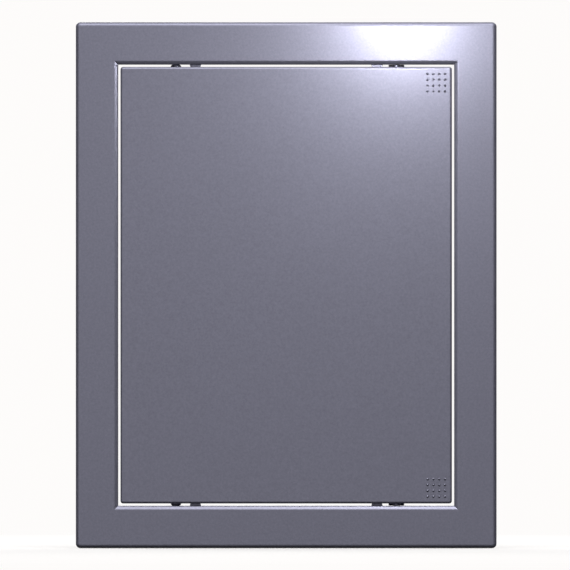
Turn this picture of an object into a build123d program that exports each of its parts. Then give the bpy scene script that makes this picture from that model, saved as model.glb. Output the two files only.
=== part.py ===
"""Access panel: a moulded wall frame with a flush door that turns on two round-shouldered pins.

Millimetres. X to the right, Y into the wall, Z up. The origin is the middle of the opening, on the wall's face.
"""
import os
from math import atan, degrees, radians, tan

from build123d import *

# Frame
frame_width = 200.0
frame_height = 250.0
flange_width = 20.1  # from the outer edge to the opening
flange_thickness = 3.0  # how far the flange stands proud of the wall
flange_skin = 1.8  # face of the flange over its hollow back
rim_width = 2.4  # outer rim that lies on the wall
flange_ribs_across = 6
flange_ribs_up = 8
flange_rib_recess = 0.3  # ribs in the hollow stay clear of the wall
rib_thickness = 1.4
sleeve_depth = 17.0  # behind the wall's face
sleeve_wall = 2.0
sleeve_corner_radius = 1.5
frame_corner_radius = 2.2
frame_edge_radius = 1.9
opening_bevel = 1.7  # width of the sloping band round the opening, on the face
opening_bevel_angle = 27.0  # degrees from the face
opening_edge_radius = 1.25  # between the face and the band
opening_lip_radius = 1.0  # between the band and the sleeve
grip_rib_height = 0.9
grip_rib_tail = 0.25  # height left at the rear end
grip_ribs_up = 4

# Door
door_gap = 1.15
door_thickness = 2.4
door_corner_radius = 1.3
door_edge_radius = 1.1
edge_rib_inset = 7.0
edge_rib_height = 5.0
cross_rib_height = 4.0

# Hinge
pivot_inset = 27.5  # from the opening's side to the hinge axis, and to the latch on the far side
lug_radius = 3.0
lug_drop = 0.7  # end of the lug below the door's edge
pin_radius = 1.9
pin_clearance = 0.08
collar_radius = 2.5  # between the lug and the pin, rounded over at its top
collar_round = 1.05
collar_clearance = 0.1  # end of the collar below the frame
socket_radius = 4.0
socket_height = 2.4
pin_recess = 0.5  # end of the pin inside its socket
ramp_depth = 1.2  # lead-in that the pin snaps along, at the rear

# Latch
arm_width = 7.4
arm_thickness = 1.6
arm_length = 9.5
arm_drop = 0.6  # outer face of the arm below the door's edge
arm_root = 1.2  # flare where the arm leaves the door
bead_reach = 1.0  # top of the bead beyond the door's edge
bead_setback = 5.0  # middle of the bead behind the door's back
nub_radius = 1.8
nub_setback = 2.0  # middle of the nub behind the door's back
nub_clearance = 0.1
dimple_depth = 0.7

# Stop tabs
stop_inset = 36.75  # from the opening's side to the middle of a tab
stop_width = 5.5
stop_reach = 4.5
stop_thickness = 2.0
stop_draft = 17.0  # degrees a side
stop_clearance = 0.3
stop_web_depth = 5.5

# Press dots
dot_pitch = 2.76
dots_a_side = 4
dot_radius = 0.62
dot_tip_radius = 0.3
dot_sides = 16
dot_height = 0.5
dot_margin = 3.3  # from the door's edges to the outer dots

# Places that follow from the above
opening_side = frame_width / 2 - flange_width
opening_top = frame_height / 2 - flange_width
sleeve_side = opening_side + sleeve_wall
sleeve_top = opening_top + sleeve_wall
socket_top = sleeve_top + socket_height
face = -flange_thickness
hollow = face + flange_skin
door_side = opening_side - door_gap
door_top = opening_top - door_gap
door_back = face + door_thickness
hinge_x = pivot_inset - opening_side
hinge_y = door_back + lug_radius
bore_radius = pin_radius + pin_clearance
latch_x = opening_side - pivot_inset
bead_y = door_back + bead_setback
nub_y = door_back + nub_setback
stop_x = opening_side - stop_inset
rib_side = door_side - edge_rib_inset  # outer faces of the edge ribs
rib_top = door_top - edge_rib_inset
half_rib = rib_thickness / 2


def slab(outline, front, back):
    """A flat outline, seen from the room, made solid between two depths."""
    return extrude(Plane.XZ.offset(-back) * outline, amount=back - front)


def side_cut(outline, width):
    """An outline in depth and height, made solid across the middle plane."""
    return extrude(Plane.YZ * outline, amount=width / 2, both=True)


def block(x_range, y_range, z_range):
    """A box between two values on each axis."""
    ranges = (x_range, y_range, z_range)
    middle = [(low + high) / 2 for low, high in ranges]
    return Pos(*middle) * Box(*[high - low for low, high in ranges])


def upright(radius, low, high, x, y):
    """A round bar along Z."""
    return Pos(x, y, (low + high) / 2) * Cylinder(radius, high - low)


def upside_down(shape):
    """The lower copy of a piece made for the top."""
    return mirror(shape, about=Plane.XY)


def spread(count, length):
    """Evenly spaced places along a length, clear of its ends."""
    return [length * ((i + 0.5) / count - 0.5) for i in range(count)]


def make_frame():
    flange = slab(RectangleRounded(frame_width, frame_height, frame_corner_radius), face, 0)
    flange = fillet(flange.faces().sort_by(Axis.Y)[0].edges(), frame_edge_radius)
    inner_width = frame_width - 2 * rim_width
    inner_height = frame_height - 2 * rim_width
    flange -= slab(Rectangle(inner_width, inner_height), hollow, 0)
    ribs = [Pos(x, 0) * Rectangle(rib_thickness, inner_height) for x in spread(flange_ribs_across, inner_width)]
    ribs += [Pos(0, z) * Rectangle(inner_width, rib_thickness) for z in spread(flange_ribs_up, inner_height)]
    sleeve = slab(RectangleRounded(2 * sleeve_side, 2 * sleeve_top, sleeve_corner_radius), hollow, sleeve_depth)
    sleeve = chamfer(sleeve.faces().sort_by(Axis.Y)[-1].edges(), sleeve_wall / 3)
    socket = upright(socket_radius, opening_top, socket_top, hinge_x, hinge_y)
    socket = chamfer(socket.edges().sort_by(Axis.Z)[-1], socket_height / 5)
    socket &= block((-frame_width, frame_width), (hollow, sleeve_depth), (0, frame_height))
    body = flange + slab(Sketch() + ribs, hollow, -flange_rib_recess) + sleeve + socket + upside_down(socket)
    body -= slab(Rectangle(2 * opening_side, 2 * opening_top), face, sleeve_depth)
    front = body.faces().sort_by(Axis.Y)[0]
    bevel_depth = opening_bevel * tan(radians(opening_bevel_angle))
    body = chamfer(front.inner_wires()[0].edges(), opening_bevel, bevel_depth, reference=front)
    body = fillet(body.faces().sort_by(Axis.Y)[0].inner_wires()[0].edges(), opening_edge_radius)
    lip = [edge for edge in body.edges() if all(abs(end.Y - face - bevel_depth) < 0.001 for end in edge.vertices())]
    body = fillet(lip, opening_lip_radius)
    bore = upright(bore_radius, 0, socket_top, hinge_x, hinge_y)
    slope = Polygon((hinge_y, opening_top), (sleeve_depth, opening_top), (sleeve_depth, opening_top + ramp_depth),
                    align=None)
    ramp = Pos(hinge_x, 0, 0) * side_cut(slope, 2 * bore_radius)
    dimple = Pos(latch_x, nub_y, opening_top - nub_radius) * Sphere(nub_radius + dimple_depth)
    for cut in (bore, ramp, dimple):
        body = body - cut - upside_down(cut)
    return body


def make_stop_tab(x):
    tip = stop_width / 2 - stop_reach * tan(radians(stop_draft))
    low = opening_top - stop_reach
    front = door_back + stop_clearance
    back = front + stop_thickness
    outline = Polygon((-stop_width / 2, opening_top), (-tip, low), (tip, low), (stop_width / 2, opening_top),
                      align=None)
    web = Polygon((back, opening_top), (back + stop_web_depth, opening_top), (back, low + stop_thickness),
                  align=None)
    return Pos(x, 0, 0) * (slab(outline, front, back) + side_cut(web, rib_thickness))


def make_grip_ribs(places, base):
    """Wedges on the top of the sleeve, or of the sleeve turned on its side."""
    rear = sleeve_depth - sleeve_wall
    wedge = Polygon((0, base), (0, base + grip_rib_height), (rear, base + grip_rib_tail), (rear, base), align=None)
    return [Pos(x, 0, 0) * side_cut(wedge, rib_thickness) for x in places]


def make_door_panel():
    panel = slab(RectangleRounded(2 * door_side, 2 * door_top, door_corner_radius), face, door_back)
    return fillet(panel.faces().sort_by(Axis.Y)[0].edges(), door_edge_radius)


def make_rib(x_range, z_range, height):
    rib = block(x_range, (door_back, door_back + height), z_range)
    long_way = Axis.X if x_range[1] - x_range[0] > z_range[1] - z_range[0] else Axis.Z
    tips = rib.faces().sort_by(Axis.Y)[-1].edges().filter_by(long_way)
    return chamfer(tips, rib_thickness / 4)


def make_hinge_pin():
    shoulder = door_top - lug_drop
    lug = upright(lug_radius, rib_top, shoulder, hinge_x, hinge_y)
    lug += block((hinge_x - lug_radius, hinge_x + lug_radius), (door_back, hinge_y), (rib_top, shoulder))
    collar = upright(collar_radius, shoulder, opening_top - collar_clearance, hinge_x, hinge_y)
    collar = fillet(collar.edges().sort_by(Axis.Z)[-1], collar_round)
    pin = upright(pin_radius, shoulder, socket_top - pin_recess, hinge_x, hinge_y)
    pin = chamfer(pin.edges().sort_by(Axis.Z)[-1], pin_radius / 4)
    return lug + collar + pin


def make_latch():
    outer = door_top - arm_drop
    inner = outer - arm_thickness
    tip = door_back + arm_length
    bead_radius = bead_reach + arm_drop
    arm = Pos((door_back + tip) / 2, (outer + inner) / 2) * Rectangle(arm_length, arm_thickness)
    arm = fillet(arm.vertices().group_by(Axis.X)[-1], arm_thickness / 3)
    root = Polygon((door_back, inner), (door_back, inner - arm_root), (door_back + arm_root, inner), align=None)
    bead = Pos(bead_y, outer) * (Circle(bead_radius) & Pos(0, bead_radius) * Rectangle(2 * bead_radius, 2 * bead_radius))
    nub_top = opening_top - nub_clearance
    nub = upright(nub_radius, outer, nub_top, 0, nub_y)
    nub = fillet(nub.edges().sort_by(Axis.Z)[-1], nub_radius / 8)
    return Pos(latch_x, 0, 0) * (side_cut(arm + root + bead, arm_width) + nub)


def make_press_dots():
    slope = degrees(atan((dot_radius - dot_tip_radius) / dot_height))
    dot = extrude(Plane.XZ * RegularPolygon(dot_radius, dot_sides), amount=dot_height, taper=slope)
    steps = [dot_margin + i * dot_pitch for i in range(dots_a_side)]
    return [Pos(door_side - across, face, door_top - down) * dot for across in steps for down in steps]


nodes = {"wall_frame": make_frame()}

for side, x in (("left", -stop_x), ("right", stop_x)):
    tab = make_stop_tab(x)
    nodes[f"stop_tab_upper_{side}"] = tab
    nodes[f"stop_tab_lower_{side}"] = upside_down(tab)

top_grips = Compound(make_grip_ribs((hinge_x / 2, 0, latch_x / 2), sleeve_top))
side_grips = Compound(make_grip_ribs(spread(grip_ribs_up, 2 * sleeve_top), sleeve_side))
nodes["grip_ribs_top"] = top_grips
nodes["grip_ribs_bottom"] = upside_down(top_grips)
nodes["grip_ribs_right"] = Rot(0, 90, 0) * side_grips
nodes["grip_ribs_left"] = Rot(0, -90, 0) * side_grips

nodes["door_panel"] = make_door_panel()
nodes["edge_rib_top"] = make_rib((-rib_side, rib_side), (rib_top - rib_thickness, rib_top), edge_rib_height)
nodes["edge_rib_bottom"] = upside_down(nodes["edge_rib_top"])
inner_side = rib_side - rib_thickness
inner_top = rib_top - rib_thickness
nodes["edge_rib_right"] = make_rib((inner_side, rib_side), (-inner_top, inner_top), edge_rib_height)
nodes["edge_rib_left"] = mirror(nodes["edge_rib_right"], about=Plane.YZ)
cross = inner_top / 3
nodes["cross_rib_upper"] = make_rib((-inner_side, inner_side), (cross - half_rib, cross + half_rib), cross_rib_height)
nodes["cross_rib_lower"] = upside_down(nodes["cross_rib_upper"])
spans = ((-inner_top, -cross - half_rib), (half_rib - cross, cross - half_rib), (cross + half_rib, inner_top))
nodes["centre_ribs"] = Compound([make_rib((-half_rib, half_rib), span, cross_rib_height) for span in spans])

for name, piece in (("hinge_pin", make_hinge_pin()), ("latch", make_latch())):
    nodes[f"{name}_upper"] = piece
    nodes[f"{name}_lower"] = upside_down(piece)

dots = Compound(make_press_dots())
nodes["press_dots_upper"] = dots
nodes["press_dots_lower"] = upside_down(dots)

os.makedirs("parts", exist_ok=True)
for name, shape in nodes.items():
    export_step(shape, f"parts/{name}.step")
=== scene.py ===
"""Looks for the access panel: satin metallic-grey mouldings, front on, against white."""

from math import cos, pi, sin

import bmesh
import bpy
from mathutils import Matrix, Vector


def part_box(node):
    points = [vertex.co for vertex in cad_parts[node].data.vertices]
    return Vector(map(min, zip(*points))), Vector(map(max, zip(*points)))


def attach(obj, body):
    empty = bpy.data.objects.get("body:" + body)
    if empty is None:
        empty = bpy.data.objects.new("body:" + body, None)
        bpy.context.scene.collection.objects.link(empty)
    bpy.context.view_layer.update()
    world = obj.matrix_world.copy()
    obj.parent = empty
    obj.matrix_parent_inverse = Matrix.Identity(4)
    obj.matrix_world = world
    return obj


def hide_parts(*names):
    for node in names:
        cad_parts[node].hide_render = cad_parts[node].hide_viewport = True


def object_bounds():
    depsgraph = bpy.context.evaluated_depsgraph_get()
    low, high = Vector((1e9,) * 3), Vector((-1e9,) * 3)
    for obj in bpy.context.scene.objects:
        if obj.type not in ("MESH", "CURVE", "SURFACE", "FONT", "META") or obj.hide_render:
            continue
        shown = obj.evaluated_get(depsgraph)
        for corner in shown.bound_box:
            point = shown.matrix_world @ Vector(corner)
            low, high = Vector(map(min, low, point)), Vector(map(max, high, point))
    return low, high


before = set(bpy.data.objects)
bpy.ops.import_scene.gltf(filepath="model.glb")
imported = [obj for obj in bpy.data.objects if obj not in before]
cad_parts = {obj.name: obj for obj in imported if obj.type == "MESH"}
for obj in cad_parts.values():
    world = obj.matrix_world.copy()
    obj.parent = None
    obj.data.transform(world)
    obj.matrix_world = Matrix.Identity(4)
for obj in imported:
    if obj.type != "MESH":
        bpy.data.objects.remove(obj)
cad_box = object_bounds()

MM = 0.001

# Photograph
IMAGE_PIXELS = 570
PIXEL = 0.4752 * MM  # on the panel's face
PANEL_MIDDLE_PIXEL = (286.2, 285.2)

# Camera
CAMERA_DISTANCE = 12.0  # from the panel's face, as the photograph shows next to no perspective
CLIP_END = 50.0
SENSOR_MM = 36

# Finish
SHEEN_GREY = (0.195, 0.195, 0.257)  # body colour, and broad reflection of the metal flake in it
SHEEN_METAL = 0.49
SHEEN_ROUGHNESS = 0.66
GLOSS_GREY = (0.081, 0.081, 0.104)  # tighter reflection of the smooth skin over it
GLOSS_METAL = 1.0
GLOSS_ROUGHNESS = 0.365
GLOSS_SHARE = 0.5
ROUGHNESS_CHANGE = 0.02
GRAIN_SIZE = 1.05 * MM
GRAIN_TONE = 0.075
GRAIN_DEPTH = 0.03 * MM
GRAIN_STRENGTH = 0.3
FLAKE_SIZE = 0.22 * MM
FLAKE_TONE = 0.08
CLOUD_SIZE = 45 * MM
CLOUD_TONE = 0.012
NOISE_DETAIL = 1
NOISE_SPAN = (0.25, 0.75)  # the usual range of a noise
FLAKE_SPAN = (0.0, 1.0)
DOOR_SHIFT = 0.5  # metres, so that the grain of the frame doesn't run on over the door

DOOR_NAMES = ("door", "edge_rib", "cross_rib", "centre_rib", "hinge_pin", "latch", "press_dots")

# Press dots
DOT_ROWS = 4
DOT_PITCH = 2.76 * MM
DOT_SEAT = 0.62 * MM  # radius of the studs they replace
DOT_RADIUS = 0.6 * MM
DOT_RINGS = 5
DOT_SEGMENTS = 20
DOT_SHARPNESS = 1.9  # 1 is a dome and 2 a cone

# Background and floor
WHITE = (0.985, 0.97, 0.96, 1.0)
AMBIENT = 0.12
FLOOR_COLOUR = (0.54, 0.533, 0.528, 1.0)
FLOOR_ROUGHNESS = 0.9
FLOOR_GLOW = 0.5
FLOOR_FADE = (0.25, 0.7)  # metres from the middle, over which the floor turns white
FLOOR_DROP = 0.2 * MM

# Dark cards round the set, in metres from the panel's middle
DARK = (0.02, 0.02, 0.021, 1.0)
CARD_SIDE = 0.45
CARD_BACK = 0.35
CARD_LOW = -0.45
CARD_HIGH = 0.6
LEFT_FRONT = -0.45
RIGHT_FRONT = -1.2
BELOW_FRONT = -0.8
ABOVE_FRONT = 0.0
ABOVE_BACK = 0.9

# Lamps
PANEL_MIDDLE = (0.0, 0.0, 0.0)
KEY_PLACE = (0.056, -0.123, 0.1306)
KEY_RADIUS = 0.006
KEY_WATTS = 1.48
FILL_SIDE = 1.2
FILL_BACK = 1.2
FILL_HEIGHT = 0.4
FILL_SIZE = 1.0
FILL_WATTS = 40.0


def point_at(obj, target):
    """Turns a lamp or camera so that it looks at a point."""
    obj.rotation_mode = "QUATERNION"
    obj.rotation_quaternion = (Vector(target) - obj.location).to_track_quat("-Z", "Y")


def link(obj):
    bpy.context.scene.collection.objects.link(obj)
    return obj


def join(tree, operation, first, second):
    """A math node on two values."""
    node = tree.nodes.new("ShaderNodeMath")
    node.operation = operation
    tree.links.new(first, node.inputs[0])
    tree.links.new(second, node.inputs[1])
    return node.outputs[0]


def spread(tree, value, low, high, span=NOISE_SPAN):
    """Maps a span of values to the range from low to high."""
    node = tree.nodes.new("ShaderNodeMapRange")
    node.inputs["From Min"].default_value = span[0]
    node.inputs["From Max"].default_value = span[1]
    node.inputs["To Min"].default_value = low
    node.inputs["To Max"].default_value = high
    tree.links.new(value, node.inputs["Value"])
    return node.outputs["Result"]


def add_camera():
    """Looks straight at the face, with the panel where the photograph has it."""
    data = bpy.data.cameras.new("camera")
    data.sensor_width = SENSOR_MM
    data.lens = SENSOR_MM * CAMERA_DISTANCE / (IMAGE_PIXELS * PIXEL)
    data.clip_end = CLIP_END
    camera = link(bpy.data.objects.new("camera", data))
    face_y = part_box("wall_frame")[0].y
    aim_x = (IMAGE_PIXELS / 2 - PANEL_MIDDLE_PIXEL[0]) * PIXEL
    aim_z = (PANEL_MIDDLE_PIXEL[1] - IMAGE_PIXELS / 2) * PIXEL
    camera.location = (aim_x, face_y - CAMERA_DISTANCE, aim_z)
    point_at(camera, (aim_x, face_y, aim_z))
    bpy.context.scene.camera = camera


def add_world():
    """White where it is seen or mirrored, and softer where it only lights the object."""
    world = bpy.data.worlds.new("studio")
    world.use_nodes = True
    tree = world.node_tree
    lighting = tree.nodes["Background"]
    lighting.inputs["Color"].default_value = WHITE
    lighting.inputs["Strength"].default_value = AMBIENT
    seen = tree.nodes.new("ShaderNodeBackground")
    seen.inputs["Color"].default_value = WHITE
    seen.inputs["Strength"].default_value = 1.0
    path = tree.nodes.new("ShaderNodeLightPath")
    shown = join(tree, "MAXIMUM", path.outputs["Is Camera Ray"], path.outputs["Is Glossy Ray"])
    mix = tree.nodes.new("ShaderNodeMixShader")
    tree.links.new(shown, mix.inputs["Fac"])
    tree.links.new(lighting.outputs[0], mix.inputs[1])
    tree.links.new(seen.outputs[0], mix.inputs[2])
    tree.links.new(mix.outputs[0], tree.nodes["World Output"].inputs["Surface"])
    bpy.context.scene.world = world


def floor_material():
    """Pale in the middle, where the shadow falls, and as white as the background further out."""
    material = bpy.data.materials.new("pale_floor")
    material.use_nodes = True
    tree = material.node_tree
    pale = tree.nodes["Principled BSDF"]
    pale.inputs["Base Color"].default_value = FLOOR_COLOUR
    pale.inputs["Roughness"].default_value = FLOOR_ROUGHNESS
    pale.inputs["Specular IOR Level"].default_value = 0.0
    glow = tree.nodes.new("ShaderNodeEmission")
    glow.inputs["Color"].default_value = WHITE
    glow.inputs["Strength"].default_value = 1.0
    places = tree.nodes.new("ShaderNodeTexCoord")
    away = tree.nodes.new("ShaderNodeVectorMath")
    away.operation = "LENGTH"
    tree.links.new(places.outputs["Object"], away.inputs[0])
    mix = tree.nodes.new("ShaderNodeMixShader")
    fade = spread(tree, away.outputs["Value"], FLOOR_GLOW, 1.0, FLOOR_FADE)
    tree.links.new(fade, mix.inputs["Fac"])
    tree.links.new(pale.outputs[0], mix.inputs[1])
    tree.links.new(glow.outputs[0], mix.inputs[2])
    tree.links.new(mix.outputs[0], tree.nodes["Material Output"].inputs["Surface"])
    return material


def add_sheet(name, corners, material):
    """A flat four-sided piece of the set, left out of what lights the body colour."""
    mesh = bpy.data.meshes.new(name)
    mesh.from_pydata(corners, [], [(0, 1, 2, 3)])
    mesh.materials.append(material)
    sheet = link(bpy.data.objects.new(name, mesh))
    sheet.visible_diffuse = False
    return sheet


def add_floor():
    """The floor just under the panel, which keeps its soft shadow."""
    level = cad_box[0][2] - FLOOR_DROP
    far = FLOOR_FADE[1]
    corners = [(-far, -far, level), (far, -far, level), (far, far, level), (-far, far, level)]
    floor = add_sheet("floor", corners, floor_material())
    floor.visible_glossy = False


def dark_material():
    """An even dark tone that the lamps don't change."""
    material = bpy.data.materials.new("dark_card")
    material.use_nodes = True
    tree = material.node_tree
    tone = tree.nodes.new("ShaderNodeEmission")
    tone.inputs["Color"].default_value = DARK
    tree.links.new(tone.outputs[0], tree.nodes["Material Output"].inputs["Surface"])
    return material


def add_card(name, corners, material):
    """A dark card out of sight, which the panel's edges mirror."""
    card = add_sheet(name, corners, material)
    card.visible_camera = False
    card.visible_shadow = False


def add_cards():
    """Upright cards at the left and right, and level ones below and above."""
    dark = dark_material()
    left, right = -CARD_SIDE, CARD_SIDE
    low, high = CARD_LOW, CARD_HIGH
    for side, x, front in (("left", left, LEFT_FRONT), ("right", right, RIGHT_FRONT)):
        corners = [(x, front, low), (x, CARD_BACK, low), (x, CARD_BACK, high), (x, front, high)]
        add_card("flag_" + side, corners, dark)
    below = ("below", low, BELOW_FRONT, CARD_BACK)
    above = ("above", high, ABOVE_FRONT, ABOVE_BACK)
    for side, z, front, back in (below, above):
        corners = [(left, front, z), (right, front, z), (right, back, z), (left, back, z)]
        add_card("flag_" + side, corners, dark)


def add_key():
    """A small lamp close to the top, whose mirror image is the bright spot. It lights no body colour."""
    data = bpy.data.lights.new("key", "POINT")
    data.shadow_soft_size = KEY_RADIUS
    data.energy = KEY_WATTS
    lamp = link(bpy.data.objects.new("key", data))
    lamp.location = KEY_PLACE
    lamp.visible_camera = False
    lamp.visible_diffuse = False


def add_area_lamp(name, place, width, height, watts):
    """A soft box that faces the panel's middle."""
    data = bpy.data.lights.new(name, "AREA")
    data.shape = "RECTANGLE"
    data.size = width
    data.size_y = height
    data.energy = watts
    lamp = link(bpy.data.objects.new(name, data))
    lamp.location = place
    lamp.visible_camera = False
    point_at(lamp, PANEL_MIDDLE)
    return lamp


def add_lamps():
    """Key and soft boxes for the front, and fills behind that light only body colour."""
    add_key()
    add_area_lamp("top_box", place=(0.0, -1.09, 1.678), width=1.46, height=1.7, watts=64.5)
    add_area_lamp("left_box", place=(-0.55, -1.4, 0.0), width=0.5, height=0.8, watts=0.9)
    add_area_lamp("back_box", place=(0.0, 1.3, 0.65), width=1.2, height=0.45, watts=10.8)
    for name, x in (("fill_left", -FILL_SIDE), ("fill_right", FILL_SIDE)):
        place = (x, FILL_BACK, FILL_HEIGHT)
        fill = add_area_lamp(name, place, FILL_SIZE, FILL_SIZE, FILL_WATTS)
        fill.visible_glossy = False


def add_place(tree, shift):
    """The place on the piece, moved by a shift."""
    places = tree.nodes.new("ShaderNodeTexCoord")
    moved = tree.nodes.new("ShaderNodeMapping")
    moved.inputs["Location"].default_value = (shift, shift, shift)
    tree.links.new(places.outputs["Object"], moved.inputs["Vector"])
    return moved.outputs["Vector"]


def add_noise(tree, place, size):
    """A soft noise whose blots are about the given size."""
    noise = tree.nodes.new("ShaderNodeTexNoise")
    noise.inputs["Scale"].default_value = 1 / size
    noise.inputs["Detail"].default_value = NOISE_DETAIL
    tree.links.new(place, noise.inputs["Vector"])
    return noise.outputs["Fac"]


def add_flakes(tree, place):
    """A random value for each cell of the metal flake."""
    cells = tree.nodes.new("ShaderNodeTexVoronoi")
    cells.inputs["Scale"].default_value = 1 / FLAKE_SIZE
    tree.links.new(place, cells.inputs["Vector"])
    return cells.outputs["Color"]


def add_bump(tree, height):
    """The slight relief of the grain."""
    bump = tree.nodes.new("ShaderNodeBump")
    bump.inputs["Strength"].default_value = GRAIN_STRENGTH
    bump.inputs["Distance"].default_value = GRAIN_DEPTH
    tree.links.new(height, bump.inputs["Height"])
    return bump.outputs["Normal"]


def add_lobe(tree, grey, metal, roughness, tone, normal):
    """One reflection of the finish."""
    shader = tree.nodes.new("ShaderNodeBsdfPrincipled")
    shader.inputs["Metallic"].default_value = metal
    colour = tree.nodes.new("ShaderNodeVectorMath")
    colour.operation = "SCALE"
    colour.inputs[0].default_value = grey
    tree.links.new(tone, colour.inputs["Scale"])
    tree.links.new(colour.outputs["Vector"], shader.inputs["Base Color"])
    tree.links.new(roughness, shader.inputs["Roughness"])
    tree.links.new(normal, shader.inputs["Normal"])
    return shader.outputs[0]


def moulded_plastic(name, shift):
    """Satin plastic with metal flake: fine grain, flake and a slight broad unevenness."""
    material = bpy.data.materials.new(name)
    material.use_nodes = True
    tree = material.node_tree
    tree.nodes.remove(tree.nodes["Principled BSDF"])
    place = add_place(tree, shift)
    grain = add_noise(tree, place, GRAIN_SIZE)
    cloud = add_noise(tree, place, CLOUD_SIZE)
    flakes = add_flakes(tree, place)
    grain_tone = spread(tree, grain, 1 - GRAIN_TONE, 1 + GRAIN_TONE)
    cloud_tone = spread(tree, cloud, 1 - CLOUD_TONE, 1 + CLOUD_TONE)
    flake_tone = spread(tree, flakes, 1 - FLAKE_TONE, 1 + FLAKE_TONE, FLAKE_SPAN)
    tone = join(tree, "MULTIPLY", grain_tone, cloud_tone)
    tone = join(tree, "MULTIPLY", tone, flake_tone)
    normal = add_bump(tree, grain)
    lobes = tree.nodes.new("ShaderNodeMixShader")
    lobes.inputs["Fac"].default_value = GLOSS_SHARE
    sheen = (SHEEN_GREY, SHEEN_METAL, SHEEN_ROUGHNESS)
    gloss = (GLOSS_GREY, GLOSS_METAL, GLOSS_ROUGHNESS)
    for socket, (grey, metal, middle) in ((1, sheen), (2, gloss)):
        roughness = spread(tree, cloud, middle - ROUGHNESS_CHANGE, middle + ROUGHNESS_CHANGE)
        lobe = add_lobe(tree, grey, metal, roughness, tone, normal)
        tree.links.new(lobe, lobes.inputs[socket])
    tree.links.new(lobes.outputs[0], tree.nodes["Material Output"].inputs["Surface"])
    return material


def add_dot(mesh, middle, height):
    """One dot: rings from the plate up to the crown."""
    turns = [2 * pi * step / DOT_SEGMENTS for step in range(DOT_SEGMENTS)]
    rings = []
    for ring in range(DOT_RINGS):
        lift = ring / DOT_RINGS * pi / 2
        radius = DOT_RADIUS * cos(lift) ** DOT_SHARPNESS
        y = middle.y - height * sin(lift) ** DOT_SHARPNESS
        points = [(middle.x + radius * cos(turn), y, middle.z + radius * sin(turn)) for turn in turns]
        rings.append([mesh.verts.new(point) for point in points])
    crown = mesh.verts.new((middle.x, middle.y - height, middle.z))
    for step in range(DOT_SEGMENTS):
        after = (step + 1) % DOT_SEGMENTS
        for low, high in zip(rings, rings[1:]):
            mesh.faces.new((low[step], low[after], high[after], high[step]))
        mesh.faces.new((rings[-1][step], rings[-1][after], crown))
    mesh.faces.new(reversed(rings[0]))


def add_press_dots(node, material):
    """Round dots on the seats of a node's studs."""
    low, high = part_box(node)
    first = Vector((low.x + DOT_SEAT, high.y, low.z + DOT_SEAT))
    mesh = bmesh.new()
    for column in range(DOT_ROWS):
        for row in range(DOT_ROWS):
            middle = first + Vector((column * DOT_PITCH, 0, row * DOT_PITCH))
            add_dot(mesh, middle, high.y - low.y)
    bmesh.ops.recalc_face_normals(mesh, faces=mesh.faces)
    data = bpy.data.meshes.new(node + "_domes")
    mesh.to_mesh(data)
    mesh.free()
    # All but the flat base of each dot, which has as many corners as a ring, is smooth
    smooth = [len(face.vertices) < DOT_SEGMENTS for face in data.polygons]
    data.polygons.foreach_set("use_smooth", smooth)
    data.materials.append(material)
    piece = link(bpy.data.objects.new(node + "_domes", data))
    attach(piece, "door")
    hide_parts(node)


finishes = {
    "frame": moulded_plastic("frame_plastic", 0.0),
    "door": moulded_plastic("door_plastic", DOOR_SHIFT),
}
for name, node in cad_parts.items():
    body = "door" if name.startswith(DOOR_NAMES) else "frame"
    node.data.materials.clear()
    node.data.materials.append(finishes[body])
for pad in ("press_dots_upper", "press_dots_lower"):
    add_press_dots(pad, finishes["door"])

add_camera()
add_world()
add_floor()
add_cards()
add_lamps()

bpy.context.scene.view_settings.view_transform = "Standard"
